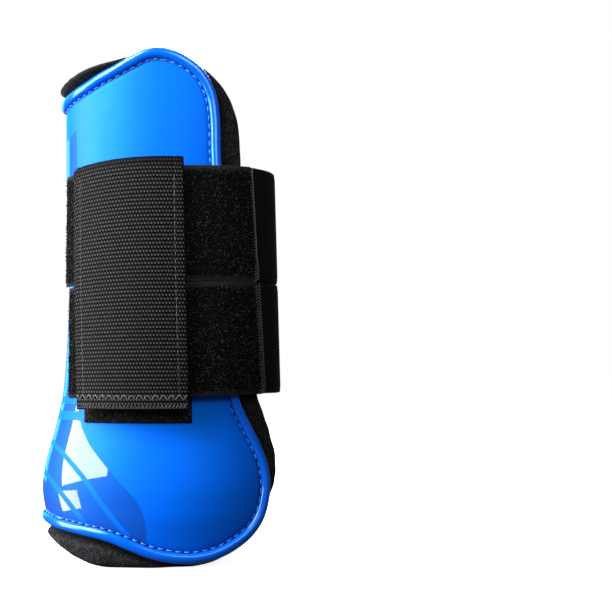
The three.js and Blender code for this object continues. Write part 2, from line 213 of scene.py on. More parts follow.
# ---------------------------------------------------------------------------
# Outlines on the unrolled surface
# ---------------------------------------------------------------------------
class Loop:
    """Closed centripetal curve through the outline of both sides, as (turn * MEAN_RADIUS, height)."""

    def __init__(self, outline, back, corners):
        side = np.array([(float(turn_at(x, z)) * MEAN_RADIUS, z) for x, z in outline])
        far = side[::-1] * [-1, 1]
        self.points = np.vstack([[(0, back[0])], side, [(0, back[1])], far])
        self.corners = [c / len(self.points) for c in corners]

    def at(self, f):
        n = len(self.points)
        where = np.asarray(f, float) * n
        i = np.floor(where).astype(int)
        t = (where - i)[..., None]
        p0, p1, p2, p3 = (self.points[(i + k) % n] for k in (-1, 0, 1, 2))
        steps = (p1 - p0, p2 - p1, p3 - p2)
        d0, d1, d2 = (np.sqrt(np.linalg.norm(step, axis=-1, keepdims=True)) for step in steps)
        m1 = ((p1 - p0) / d0 - (p2 - p0) / (d0 + d1) + (p2 - p1) / d1) * d1
        m2 = ((p2 - p1) / d1 - (p3 - p1) / (d1 + d2) + (p3 - p2) / d2) * d1
        c2, c3 = -3 * p1 + 3 * p2 - 2 * m1 - m2, 2 * p1 - 2 * p2 + m1 + m2
        return p1 + m1 * t + c2 * t ** 2 + c3 * t ** 3

    def inset(self, f, inset):
        """(turn, z) of loop points moved inwards by inset millimetres."""
        f = np.asarray(f, float)
        step = 1e-4
        point = self.at(f)
        tangent = self.at(f + step) - self.at(f - step)
        turn = point[..., 0] / MEAN_RADIUS
        stretch = turn_speed(turn, point[..., 1]) / MEAN_RADIUS
        along = tangent[..., 0] * stretch
        size = np.hypot(along, tangent[..., 1])
        return (
            (point[..., 0] - inset * tangent[..., 1] / (size * stretch)) / MEAN_RADIUS,
            np.maximum(point[..., 1] + inset * along / size, 0),
        )

    def spaced(self, start, end, inset, fractions):
        """Loop parameters at arc-length fractions of one stretch."""
        fine = np.linspace(start, end, 600)
        turn, z = self.inset(fine, inset)
        length = np.concatenate([[0], np.cumsum(np.hypot(np.diff(turn) * MEAN_RADIUS, np.diff(z)))])
        return np.interp(np.asarray(fractions) * length[-1], length, fine)

    def outside(self, turn, z):
        """Millimetres outside the loop, negative inside."""
        corners = self.at(np.linspace(0, 1, 481))
        p = np.stack([np.ravel(turn) * MEAN_RADIUS, np.ravel(z)], -1)
        nearest = np.full(len(p), np.inf)
        inside = np.zeros(len(p), bool)
        for a, b in zip(corners[:-1], corners[1:]):
            d = b - a
            along = np.clip(((p - a) @ d) / max(d @ d, 1e-12), 0, 1)
            nearest = np.minimum(nearest, np.linalg.norm(p - a - along[:, None] * d, axis=1))
            if a[1] != b[1]:
                crossing = ((a[1] > p[:, 1]) != (b[1] > p[:, 1]))
                inside ^= crossing & (p[:, 0] < a[0] + d[0] * (p[:, 1] - a[1]) / d[1])
        return np.where(inside, -nearest, nearest).reshape(np.shape(turn))


HALF_HEM, FRONT_EDGE = 100.0, 215.0
SHELL_LOOP = Loop(SHELL_OUTLINE, SHELL_BACK, SHELL_CORNERS)
LINING_LOOP = Loop(LINING_OUTLINE, LINING_BACK, LINING_CORNERS)


def clustered(count, length, radius, both=True):
    """Fractions from 0 to 1 that crowd towards an edge of that radius, in millimetres."""
    near = np.array([0, 0.04, 0.15, 0.35, 0.65, 1.0]) * radius / length
    if not both:
        return np.concatenate([np.linspace(0, 1 - near[-1], count), (1 - near[:-1])[::-1]])
    return np.concatenate([near[:-1], np.linspace(near[-1], 1 - near[-1], count), (1 - near[:-1])[::-1]])


def wrap_grid(loop, inset, columns, rows, radius):
    """(turn, z) grids that fill the loop on both sides of the leg."""
    us = clustered(columns, HALF_HEM, radius, both=False)
    vs = clustered(rows, FRONT_EDGE, radius)
    ends = loop.corners
    hem = np.stack(loop.inset(loop.spaced(0, ends[0], inset, us), inset), -1)
    front = np.stack(loop.inset(loop.spaced(ends[0], ends[1], inset, vs), inset), -1)
    collar = np.stack(loop.inset(loop.spaced(0.5, ends[1], inset, us), inset), -1)
    u, v = np.meshgrid(us, vs)
    u, v = u[..., None], v[..., None]
    back = np.stack([np.zeros_like(vs), lerp(hem[0, 1], collar[0, 1], vs)], -1)[:, None]
    grid = (
        (1 - v) * hem[None] + v * collar[None] + (1 - u) * back + u * front[:, None]
        - (1 - u) * ((1 - v) * hem[0] + v * collar[0]) - u * ((1 - v) * hem[-1] + v * collar[-1])
    )
    grid[:, 0, 0] = 0
    grid[..., 1] = np.maximum(grid[..., 1], 0)
    far = grid[:, :0:-1] * [-1, 1]
    full = np.concatenate([far, grid], 1)
    return full[..., 0], full[..., 1]


# ---------------------------------------------------------------------------
# Meshes
# ---------------------------------------------------------------------------
def new_object(name, verts, faces, uv=None, attributes=None):
    mesh = bpy.data.meshes.new(name)
    verts = np.ascontiguousarray(verts, np.float32).reshape(-1, 3)
    faces = np.ascontiguousarray(faces, np.int32)
    count, corners = faces.shape
    mesh.vertices.add(len(verts))
    mesh.vertices.foreach_set("co", verts.ravel())
    mesh.loops.add(count * corners)
    mesh.loops.foreach_set("vertex_index", faces.ravel())
    mesh.polygons.add(count)
    mesh.polygons.foreach_set("loop_start", np.arange(count, dtype=np.int32) * corners)
    mesh.polygons.foreach_set("use_smooth", np.ones(count, bool))
    if uv is not None:
        layer = mesh.uv_layers.new(name="UVMap")
        layer.data.foreach_set("uv", np.asarray(uv, np.float32).reshape(-1, 2)[faces.ravel()].ravel())
    for key, values in (attributes or {}).items():
        layer = mesh.attributes.new(key, "FLOAT", "POINT")
        layer.data.foreach_set("value", np.asarray(values, np.float32).ravel())
    mesh.update(calc_edges=True)
    obj = bpy.data.objects.new(name, mesh)
    bpy.context.collection.objects.link(obj)
    return obj


def grid_faces(rows, columns):
    r, c = np.meshgrid(np.arange(rows - 1), np.arange(columns - 1), indexing="ij")
    a = (r * columns + c).ravel()
    return np.stack([a, a + 1, a + columns + 1, a + columns], -1)


def signed_volume(verts, faces):
    v = verts.reshape(-1, 3).astype(float)
    total = 0.0
    for k in range(1, faces.shape[1] - 1):
        total += np.einsum("ij,ij->", v[faces[:, 0]], np.cross(v[faces[:, k]], v[faces[:, k + 1]]))
    return total


def slab(name, outer, inner, uv, attributes=None):
    """Closed solid between two grids that share their border."""
    rows, columns = outer.shape[:2]
    total = rows * columns
    index = np.arange(total).reshape(rows, columns)
    under = index + total
    under[0], under[-1] = index[0], index[-1]
    under[:, 0], under[:, -1] = index[:, 0], index[:, -1]
    faces = grid_faces(rows, columns)
    faces = np.vstack([faces, under.ravel()[faces][:, ::-1]])
    used = np.unique(faces)
    renumber = np.full(2 * total, -1)
    renumber[used] = np.arange(len(used))
    verts = np.concatenate([outer.reshape(-1, 3), inner.reshape(-1, 3)])[used]
    faces = renumber[faces]
    if signed_volume(verts, faces) < 0:
        faces = faces[:, ::-1]
    uv2 = np.concatenate([uv.reshape(-1, 2)] * 2)[used]
    extra = {k: np.concatenate([np.ravel(a)] * 2)[used] for k, a in (attributes or {}).items()}
    return new_object(name, verts, faces, uv2, extra)


def rounded(edge, radius):
    """Share of the full thickness at a distance from the edge."""
    f = np.clip(edge / radius, 0, 1)
    return np.sqrt(np.clip(1 - (1 - f) ** 2, 0, 1))


def tubes(name, paths, radius, sides, reference, fibre_glint=None):
    """One mesh of many small tubes; paths is (count, points, 3) in metres, reference a way across them."""
    paths = np.asarray(paths, float)
    count, steps = paths.shape[:2]
    tangent = np.gradient(paths, axis=1)
    tangent /= np.maximum(np.linalg.norm(tangent, axis=-1, keepdims=True), 1e-12)
    ref = np.asarray(reference, float)
    ref = ref[:, None] if ref.ndim == 2 else ref
    side = np.cross(tangent, np.broadcast_to(ref, paths.shape))
    side /= np.maximum(np.linalg.norm(side, axis=-1, keepdims=True), 1e-12)
    up = np.cross(side, tangent)
    radius = np.broadcast_to(np.asarray(radius, float), (count, steps))[..., None, None]
    angle = np.arange(sides) * 2 * math.pi / sides
    cos, sin = np.cos(angle)[:, None], np.sin(angle)[:, None]
    ring = paths[:, :, None] + radius * (cos * side[:, :, None] + sin * up[:, :, None])
    k = np.arange(sides)
    quad = []
    for s in range(steps - 1):
        a = s * sides + k
        b = s * sides + (k + 1) % sides
        quad.append(np.stack([a, b, b + sides, a + sides], -1))
    quad = np.concatenate(quad)
    base = (np.arange(count) * steps * sides)[:, None, None]
    faces = (quad[None] + base).reshape(-1, 4)
    # A per-tube lightness, used only for the pile's painted fibre glints.
    extra = {} if fibre_glint is None else {"fibre_glint": np.repeat(fibre_glint, steps * sides)}
    return new_object(name, ring.reshape(-1, 3), faces, None, extra)


def finish_piece(obj, material, body=None, bend=None, nodes=()):
    obj.data.materials.append(material)
    if bend:
        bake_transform(obj)
    else:
        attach(obj, body)
    if nodes:
        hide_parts(*nodes)
    return obj


# ---------------------------------------------------------------------------
# Materials
# ---------------------------------------------------------------------------
class Shader:
    """Small helper that wires a Principled material."""

    def __init__(self, name, color, roughness, **sockets):
        self.material = bpy.data.materials.new(name)
        self.material.use_nodes = True
        self.tree = self.material.node_tree
        self.principled = self.tree.nodes["Principled BSDF"]
        self.set("Base Color", (*color, 1))
        self.set("Roughness", roughness)
        for key, value in sockets.items():
            self.set(key.replace("_", " "), value)

    def set(self, socket, value):
        self.principled.inputs[socket].default_value = value

    def node(self, kind, **values):
        node = self.tree.nodes.new(kind)
        for key, value in values.items():
            if hasattr(node, key):
                setattr(node, key, value)
            else:
                node.inputs[key.replace("_", " ")].default_value = value
        return node

    def link(self, a, b):
        self.tree.links.new(a, b)

    def object_space(self):
        return self.node("ShaderNodeTexCoord").outputs["Object"]

    def noise(self, vector, scale, detail=3.0):
        node = self.node("ShaderNodeTexNoise", Scale=scale, Detail=detail)
        self.link(vector, node.inputs["Vector"])
        return node.outputs["Fac"]

    def ramp(self, value, low, high, a, b):
        node = self.node("ShaderNodeMapRange")
        node.inputs["From Min"].default_value = low
        node.inputs["From Max"].default_value = high
        node.inputs["To Min"].default_value = a
        node.inputs["To Max"].default_value = b
        self.link(value, node.inputs["Value"])
        return node.outputs[0]

    def mix(self, factor, a, b):
        node = self.node("ShaderNodeMix", data_type="RGBA")
        self.link(factor, node.inputs[0])
        for socket, value in ((node.inputs[6], a), (node.inputs[7], b)):
            if isinstance(value, tuple):
                socket.default_value = (*value, 1)
            else:
                self.link(value, socket)
        return node.outputs[2]

    def bump(self, height, distance, strength):
        node = self.node("ShaderNodeBump", Strength=strength, Distance=distance)
        self.link(height, node.inputs["Height"])
        self.link(node.outputs[0], self.principled.inputs["Normal"])

    def multiply(self, a, b):
        node = self.node("ShaderNodeMath", operation="MULTIPLY")
        self.link(a, node.inputs[0])
        self.link(b, node.inputs[1])
        return node.outputs[0]


def srgb(r, g, b):
    values = np.array([r, g, b], float) / 255
    linear = np.where(values <= 0.04045, values / 12.92, ((values + 0.055) / 1.055) ** 2.4)
    return tuple(float(value) for value in linear)


def shell_material():
    """Satin moulding with a clear glossy print on part of it."""
    s = Shader("shell_satin_blue", srgb(0, 77, 192), 0.5, Specular_IOR_Level=0.32, Coat_Roughness=0.03)
    s.set("Specular Tint", (0.05, 0.74, 0.96, 1))
    gloss = s.node("ShaderNodeAttribute", attribute_name="gloss_print").outputs["Fac"]
    mask = s.ramp(gloss, -0.12, 0.12, 0, 1)
    s.link(mask, s.principled.inputs["Coat Weight"])
    tone = s.noise(s.object_space(), 22, 4)
    satin = s.mix(tone, srgb(0, 75, 187), srgb(0, 81, 199))
    s.link(s.mix(mask, satin, srgb(0, 58, 150)), s.principled.inputs["Base Color"])
    cloud = s.noise(s.object_space(), 160, 3)
    s.link(s.ramp(cloud, 0.3, 0.7, 0.46, 0.54), s.principled.inputs["Roughness"])
    grain = s.noise(s.object_space(), 1500, 2)
    calm = s.node("ShaderNodeMix", data_type="FLOAT")
    s.link(mask, calm.inputs[0])
    s.link(grain, calm.inputs[2])
    calm.inputs[3].default_value = 0.5
    s.bump(calm.outputs[0], 0.06 * MM, 0.6)
    return s.material


def rim_material():
    s = Shader("rim_gloss_blue", srgb(0, 78, 192), 0.18, Specular_IOR_Level=0.75)
    s.set("Specular Tint", (0.4, 0.86, 1.0, 1))
    cloud = s.noise(s.object_space(), 90, 3)
    s.link(s.ramp(cloud, 0.3, 0.7, 0.14, 0.22), s.principled.inputs["Roughness"])
    tone = s.noise(s.object_space(), 30, 3)
    s.link(s.mix(tone, srgb(0, 74, 188), srgb(0, 84, 202)), s.principled.inputs["Base Color"])
    return s.material


def thread_material(name, light, dark):
    s = Shader(name, light, 0.5, Sheen_Weight=0.3)
    twist = s.noise(s.object_space(), 1800, 2)
    s.link(s.mix(twist, dark, light), s.principled.inputs["Base Color"])
    return s.material


def fabric_material(name, dark, light, scale, roughness, sheen, bump_mm):
    s = Shader(name, dark, roughness, Sheen_Weight=sheen, Sheen_Roughness=0.4, Specular_IOR_Level=0.05)
    fine = s.noise(s.object_space(), scale, 4)
    s.link(s.mix(s.ramp(fine, 0.35, 0.65, 0, 1), dark, light), s.principled.inputs["Base Color"])
    s.bump(fine, bump_mm * MM, 0.8)
    return s.material


def highlight_painted_fabric(name, attribute, dark, light, roughness, sheen=0.1):
    """Fabric lightened by a value kept on the mesh, which paints light as colour: glints on raised yarns
    and pile fibres, sheen on bare selvedges, and shade between yarns where the value stays low.
    """
    s = Shader(name, dark, roughness, Sheen_Weight=sheen, Sheen_Roughness=0.4, Specular_IOR_Level=0.04)
    value = s.node("ShaderNodeAttribute", attribute_name=attribute).outputs["Fac"]
    fine = s.noise(s.object_space(), 1700, 3)
    broken = s.multiply(value, s.ramp(fine, 0.3, 0.7, 0.45, 1.25))
    s.link(s.mix(broken, dark, light), s.principled.inputs["Base Color"])
    s.bump(fine, 0.03 * MM, 0.6)
    return s.material


def knit_material(name, dark, light):
    """Fine pebbled knit face of neoprene sheet."""
    s = Shader(name, dark, 0.75, Sheen_Weight=0.02, Specular_IOR_Level=0.05)
    cells = s.node("ShaderNodeTexVoronoi", Scale=1150)
    s.link(s.object_space(), cells.inputs["Vector"])
    pebble = s.ramp(cells.outputs["Distance"], 0.1, 0.7, 1, 0)
    both = s.multiply(pebble, s.noise(s.object_space(), 240, 4))
    s.link(s.mix(s.ramp(both, 0.1, 0.6, 0, 1), dark, light), s.principled.inputs["Base Color"])
    s.bump(both, 0.22 * MM, 0.8)
    return s.material


MATERIALS = {
    "shell": shell_material(),
    "rim": rim_material(),
    "thread_blue": thread_material("thread_light_blue", srgb(44, 140, 226), srgb(4, 80, 186)),
    "thread_grey": thread_material("thread_grey", srgb(30, 30, 31), srgb(10, 10, 11)),
    "thread_seam": thread_material("thread_seam", srgb(66, 68, 68), srgb(30, 31, 31)),
    "thread_black": thread_material("thread_black", srgb(20, 20, 21), srgb(8, 8, 9)),
    "thread_plum": thread_material("thread_plum", srgb(21, 17, 19), srgb(8, 6, 7)),
    "foam": fabric_material("foam_dark", srgb(46, 48, 52), srgb(60, 62, 66), 900, 0.9, 0.1, 0.15),
    "neoprene": knit_material("neoprene_black", srgb(13, 13, 14), srgb(48, 50, 53)),
    "tape": fabric_material("loop_tape_base", srgb(6, 6, 7), srgb(15, 16, 16), 1500, 0.9, 0.01, 0.2),
    # Loop strap: the selvedges are painted lighter as their sheen.
    "strap": highlight_painted_fabric("loop_strap_base", "selvedge_and_sheen", srgb(6, 6, 7), srgb(30, 32, 32), 0.8, 0.0),
    # Pile: its lightest loops are painted glints on black fibres.
    "pile": highlight_painted_fabric("loop_pile", "fibre_glint", srgb(5, 5, 6), srgb(98, 96, 91), 0.7, 0.0),
    "hook": fabric_material("hook_nylon", srgb(7, 7, 8), srgb(22, 22, 24), 800, 0.4, 0.0, 0.02),
    "elastic": fabric_material("elastic_black", srgb(4, 4, 5), srgb(12, 12, 13), 1100, 0.55, 0.01, 0.05),
    # Webbing: the tops of ribs and dots are painted light as glints, and the gullies between them dark as
    # shade.
    "web": highlight_painted_fabric("webbing_black", "yarn", srgb(0, 0, 1), srgb(64, 64, 63), 0.6, 0.0),
}


# ---------------------------------------------------------------------------
# Shell, rim, foam and lining
# ---------------------------------------------------------------------------
GLOSS_EDGE = [  # height and x in side view of the glossy print's front edge, from the top down
    (230, -41.5), (200, -40.5), (150, -39), (110, -38.2), (80, -38.6), (66, -37.2), (56, -33),
    (47, -26), (38, -17.8), (30, -10.6), (23, -7.4), (15, -6.4), (5, -7.5),
]
GLOSS_TOP = ((-47, 196.5), (-40, 202))
SATIN_BANDS = [(74.6, 1.7), (67.6, 2.0)]  # height and half width of level satin strips across the print
SATIN_CURVES = [  # middles of the two slanting satin strips, as x in side view and height
    [(-52.5, 56), (-45, 50.5), (-35.5, 41), (-28, 31), (-20, 21), (-14, 14)],
    [(-56, 42.5), (-49, 36.5), (-41, 28), (-34, 19.5), (-30, 12)],
]
SATIN_CURVE_HALF = 1.15
SHELL_INSET, SHELL_THICK = 5.05, 1.8
RIM_CENTRE, RIM_HALF_WIDTH, RIM_HALF_HEIGHT = 2.5, 2.45, 2.1
STITCH_INSET, STITCH_PITCH, STITCH_LENGTH = 5.45, 4.0, 2.7
FOAM_INSET, FOAM_MIDDLE, FOAM_HALF = 9.0, -3.6, 1.2
LINING_OUTER = (-5.6, -0.6)  # layer under the shell, and where the lining stands out past it
LINING_INNER = (-10.4, -8.0)
COLLAR_ROLL, HEM_ROLL = 3.4, 2.4


def distance_to_path(x, z, path):
    nearest = np.full(np.shape(x), np.inf)
    for (ax, az), (bx, bz) in zip(path[:-1], path[1:]):
        dx, dz = bx - ax, bz - az
        f = np.clip(((x - ax) * dx + (z - az) * dz) / (dx * dx + dz * dz), 0, 1)
        nearest = np.minimum(nearest, np.hypot(x - ax - f * dx, z - az - f * dz))
    return nearest


def refined(path, count=60):
    """Points of a smooth curve through a few hand-set ones."""
    p = np.array(path, float)
    t = np.linspace(0, len(p) - 1, count)
    i = np.clip(t.astype(int), 0, len(p) - 2)
    f = (t - i)[:, None]
    q = np.vstack([2 * p[0] - p[1], p, 2 * p[-1] - p[-2]])
    a, b, c, d = q[i], q[i + 1], q[i + 2], q[i + 3]
    square, cube = 2 * a - 5 * b + 4 * c - d, 3 * b - a - 3 * c + d
    return 0.5 * (2 * b + (c - a) * f + square * f ** 2 + cube * f ** 3)


def gloss_print(turn, z):
    """Millimetres inside the glossy print, negative outside it."""
    x = side_x(turn, z)
    edge = refined(GLOSS_EDGE)[::-1]
    inside = (np.interp(z, edge[:, 0], edge[:, 1]) - x) * 0.75
    (x0, z0), (x1, z1) = GLOSS_TOP
    top = (z0 + (x - x0) * (z1 - z0) / (x1 - x0)) - z
    inside = np.minimum(inside, top)
    for height, half in SATIN_BANDS:
        inside = np.minimum(inside, np.abs(z - height) - half)
    for curve in SATIN_CURVES:
        inside = np.minimum(inside, distance_to_path(x, z, refined(curve)) - SATIN_CURVE_HALF)
    return inside


def make_shell():
    """Moulded shell inside the rim, a little lower along its edge."""
    radius, half = 0.9, SHELL_THICK / 2
    turn, z = wrap_grid(SHELL_LOOP, SHELL_INSET, 130, 170, radius)
    edge = -SHELL_LOOP.outside(turn, z) - SHELL_INSET
    share = rounded(edge, radius)
    crown = -0.35 * (1 - smooth(edge, 0, 2.2))
    outer = surface(turn, z, -half + half * share + crown)
    inner = surface(turn, z, -half - half * share + crown)
    uv = np.stack([turn * MEAN_RADIUS, z], -1)
    obj = slab("shell_moulding", outer, inner, uv, {"gloss_print": gloss_print(turn, z)})
    return finish_piece(obj, MATERIALS["shell"], "shell", nodes=["outer_shell"])


def make_rim():
    """Rounded bead that follows the shell's edge."""
    steps, sides = 900, 22
    where = SHELL_LOOP.spaced(0, 1, RIM_CENTRE, np.arange(steps) / steps)
    angle = np.arange(sides) * 2 * math.pi / sides
    verts = []
    for a in angle:
        turn, z = SHELL_LOOP.inset(where, RIM_CENTRE + RIM_HALF_WIDTH * math.cos(a))
        verts.append(surface(turn, z, 0.1 + RIM_HALF_HEIGHT * math.sin(a) - 0.25 * (math.sin(a) < 0)))
    verts = np.stack(verts, 1)
    s, k = np.meshgrid(np.arange(steps), np.arange(sides), indexing="ij")
    s2, k2 = (s + 1) % steps, (k + 1) % sides
    faces = np.stack([s * sides + k, s * sides + k2, s2 * sides + k2, s2 * sides + k], -1).reshape(-1, 4)
    if signed_volume(verts, faces) < 0:
        faces = faces[:, ::-1]
    obj = new_object("rim_bead", verts, faces)
    return finish_piece(obj, MATERIALS["rim"], "shell", nodes=["rim_piping"])


def make_rim_stitching():
    """Lock stitches in the groove between the rim and the shell."""
    where = SHELL_LOOP.spaced(0, 1, STITCH_INSET, np.linspace(0, 1, 4001))
    run = run_along(surface(*SHELL_LOOP.inset(where, STITCH_INSET), 0))
    count = int(run[-1] // STITCH_PITCH)
    starts = np.arange(count) * run[-1] / count
    f = np.linspace(0, 1, 7)
    at = np.interp(starts[:, None] + STITCH_LENGTH * f[None], run, where)
    turn, z = SHELL_LOOP.inset(at, STITCH_INSET)
    arch = -0.55 + 0.75 * np.sin(np.pi * np.clip(f, 0.02, 0.98)) ** 0.6
    paths = surface(turn, z, np.broadcast_to(arch, turn.shape))
    radius = (0.16 + 0.12 * np.sin(np.pi * f)) * MM
    obj = tubes("rim_stitching", paths, radius, 6, normals(turn, z))
    return finish_piece(obj, MATERIALS["thread_blue"], "shell")


def make_foam():
    turn, z = wrap_grid(SHELL_LOOP, FOAM_INSET, 40, 60, FOAM_HALF)
    share = rounded(-SHELL_LOOP.outside(turn, z) - FOAM_INSET, FOAM_HALF)
    outer = surface(turn, z, FOAM_MIDDLE + FOAM_HALF * share)
    inner = surface(turn, z, FOAM_MIDDLE - FOAM_HALF * share)
    obj = slab("foam_layer", outer, inner, np.stack([turn * MEAN_RADIUS, z], -1))
    finish_piece(obj, MATERIALS["foam"], "shell", nodes=["shock_foam"])
    return obj


def make_lining():
    """Neoprene that swells into a soft roll where it stands out past the shell."""
    radius = 3.4
    turn, z = wrap_grid(LINING_LOOP, 0, 110, 160, radius)
    outside = SHELL_LOOP.outside(turn, z)
    edge = -LINING_LOOP.outside(turn, z)
    strapped = smooth(z, 64, 74) * (1 - smooth(z, 186, 196)) * (turn < 0)
    back = smooth(np.cos(turn), 0.3, 0.85)
    snug = smooth(z, 205, 222) * (1 - back)
    rim = smooth(outside, 0.4 - 0.7 * snug, 4.2 - 2.2 * snug) * (1 - strapped)
    out_layer = lerp(*LINING_OUTER, rim)
    in_layer = lerp(*LINING_INNER, smooth(outside, -2, 6) * (1 - strapped))
    swell = COLLAR_ROLL * smooth(z, 215, 222) + HEM_ROLL * (1 - smooth(z, 13, 20))
    roll = smooth(outside, 1.0, 4.5) * back * swell
    ripple = 0.22 * np.sin(turn * 31) * np.sin(z * 0.55 + turn * 9) * rim
    share = rounded(edge, radius)
    middle = (out_layer + in_layer) / 2
    half = (out_layer - in_layer) / 2
    outer = surface(turn, z, middle + half * share + (ripple + roll) * share)
    inner = surface(turn, z, middle - half * share + 0.4 * roll * share)
    obj = slab("lining_padding", outer, inner, np.stack([turn * MEAN_RADIUS, z], -1))
    finish_piece(obj, MATERIALS["neoprene"], "shell", nodes=["neoprene_lining"])
    return obj


# ---------------------------------------------------------------------------
# Bands
# ---------------------------------------------------------------------------
class Band:
    """A strip on the wrap surface between two ends and two edges, measured in millimetres."""

    def __init__(self, start, end, low, high):
        self.start, self.end, self.low, self.high = start, end, low, high
        f = np.linspace(0, 1, 200)
        turn, z = self.place(f, np.full(200, 0.5))
        self.run = run_along(surface(turn, z, 0))
        self.length = self.run[-1]
        self.width = float(np.mean(high(f) - low(f)))

    def place(self, f, r):
        """(turn, z) at a fraction along and a fraction across."""
        z = lerp(self.low(f), self.high(f), r)
        return lerp(self.start(z), self.end(z), f), z

    def along(self, mm):
        """Fraction along at so many millimetres."""
        return np.interp(mm, self.run, np.linspace(0, 1, 200))

    def grid(self, columns, rows, radius):
        """Millimetres along and across, (turn, z) and distance from the edge, over the whole band."""
        along = clustered(columns, self.length, radius) * self.length
        across = clustered(rows, self.width, radius) * self.width
        a, b = np.meshgrid(along, across)
        turn, z = self.place(self.along(a), b / self.width)
        edge = np.minimum(np.minimum(a, self.length - a), np.minimum(b, self.width - b))
        return a, b, turn, z, edge


def slanted(pair):
    return lambda z: np.radians(lerp(*pair, zone(z)))


def shifted(end, degrees):
    return lambda z: end(z) + math.radians(degrees)


def sloped(pair, margin):
    return lambda f: lerp(*pair, np.asarray(f, float)) + margin


def level(z):
    return lambda f: np.full(np.shape(f), float(z))


def at_x(x):
    return lambda z: turn_at(x, z)


def flap_side(side_xs, margin=0):
    def turn(z):
        f = (np.asarray(z, float) - FLAP_BOTTOM) / (FLAP_TOP[1] - FLAP_BOTTOM)
        return turn_at(lerp(*side_xs, f) + margin, z)
    return turn


def elastic_depth(turn):
    rise = smooth(ELASTIC_RAMP[1] - np.degrees(turn), 0, ELASTIC_RAMP[1] - ELASTIC_RAMP[0])
    return lerp(-ELASTIC_DEPTH, STRAP_BASE, rise)


def loop_pile(name, points, normal, height, thickness, seed, contrast=6):
    """Loops of fine yarn standing on the given points; a few are painted light as fibre glints, and
    contrast makes these light ones rarer.
    """
    rng = np.random.default_rng(seed)
    count = len(points)
    angle = rng.uniform(0, 2 * math.pi, count)
    sideways = np.cross(normal, [0, 0, 1.0])
    sideways /= np.linalg.norm(sideways, axis=1, keepdims=True)
    other = np.cross(normal, sideways)
    lean = np.cos(angle)[:, None] * sideways + np.sin(angle)[:, None] * other
    tall = rng.uniform(0.55, 1.15, count)[:, None, None] * height
    wide = rng.uniform(0.5, 1.3, count)[:, None, None] * height * 0.75
    f = np.linspace(0, 1, 5)[None, :, None]
    slump = rng.uniform(-0.6, 0.6, count)[:, None, None] * height
    paths = (
        points[:, None] + lean[:, None] * wide * (f - 0.5)
        + normal[:, None] * (tall * np.sin(np.pi * f) - 0.1 * height)
        + np.cross(lean, normal)[:, None] * slump * np.sin(np.pi * f)
    )
    reference = np.cross(lean, normal) + 0.01
    # The light loops are painted glints on the fibres, at random ones.
    return tubes(name, paths, thickness, 3, reference, rng.uniform(0, 1, count) ** contrast)


def scatter(band, margin, edge, out, seed):
    """Seeded random points and normals over a band, clear of its ends by margin and its sides by edge."""
    rng = np.random.default_rng(seed)
    count = int(band.length * band.width * PILE_DENSITY)
    along = rng.uniform(margin, band.length - margin, count)
    across = rng.uniform(edge, band.width - edge, count) / band.width
    turn, z = band.place(band.along(along), across)
    return surface(turn, z, out), normals(turn, z)


SEAM = slanted(SEAM_TURN)
JOIN = slanted([turn + JOIN_AHEAD for turn in SEAM_TURN])
ROOT = slanted(ROOT_TURN)


def strap_bend(name, z):
    """Where the loop strap bends off the elastic's end."""
    turn = float(SEAM(z))
    start = surface(turn, z, STRAP_FACE)
    end = surface(turn - math.radians(STRAP_BEND), z, STRAP_FACE)
    return (f"{name}_strap_front", f"{name}_strap_end", tuple(start), tuple(end))


def make_loop_strap(name, strap):
    """Loop cloth with bare selvedges and its pile."""
    band = Band(at_x(strap["end_x"]), JOIN, sloped(strap["low"], -0.3), sloped(strap["high"], 0.3))
    a, b, turn, z, edge = band.grid(120, 46, 0.9)
    share = rounded(edge, 0.9)
    middle = (STRAP_BASE + STRAP_FACE) / 2
    half = (STRAP_FACE - STRAP_BASE) / 2
    # Bare woven selvedge, thinner and without pile; its lighter colour in the material is painted sheen.
    selvedge_and_sheen = 1 - smooth(np.minimum(b, band.width - b), 1.6, 2.8)
    wave = 0.12 * np.sin(a * 0.9 + 2 * np.sin(b * 0.4)) * np.sin(b * 0.8)
    face = (half - 0.35 * selvedge_and_sheen - 0.25) * share
    outer = surface(turn, z, middle + face + wave * share * (1 - selvedge_and_sheen))
    inner = surface(turn, z, middle - half * share)
    obj = slab(f"{name}_strap_cloth", outer, inner, np.stack([a, b], -1), {"selvedge_and_sheen": selvedge_and_sheen})
    bend = strap_bend(name, strap["middle"])
    finish_piece(obj, MATERIALS["strap"], bend=bend, nodes=[f"{name}_loop_strap"])
    points, normal = scatter(band, 0.4, 1.5, STRAP_FACE - 0.35, strap["pile_seed"])
    pile = loop_pile(f"{name}_strap_pile", points, normal, 0.75 * MM, 0.08 * MM, 21)
    finish_piece(pile, MATERIALS["pile"], bend=bend)


def make_elastic(name, strap):
    """Ribbed elastic from the loop strap round the front to its root inside the far side."""
    low, high = strap["low"][1], strap["high"][1]
    band = Band(shifted(JOIN, 0.5), shifted(ROOT, 3.5), level(low), level(high))
    a, b, turn, z, edge = band.grid(150, 60, 0.8)
    share = rounded(edge, 0.8)
    depth = elastic_depth(turn)
    rib = 0.05 * np.cos(b * 2 * math.pi / 1.7) + 0.06 * np.cos(a * 2 * math.pi / 2.1)
    curl = 0.35 * smooth(4 - np.minimum(b, band.width - b), 0, 4) * smooth(a, 6, 25)
    half = ELASTIC_THICK / 2
    thick = (half - 0.1 + rib) * share
    outer = surface(turn, z, depth + half - curl + thick)
    inner = surface(turn, z, depth + half - curl - thick)
    obj = slab(f"{name}_elastic_band", outer, inner, np.stack([a, b], -1))
    middle = (low + high) / 2
    root = float(ROOT(middle))
    start, end = (surface(turn, middle, -3) for turn in (root, root - math.radians(ELASTIC_BEND)))
    bend = ("shell", f"{name}_strap_front", tuple(start), tuple(end))
    finish_piece(obj, MATERIALS["elastic"], bend=bend, nodes=[f"{name}_elastic"])


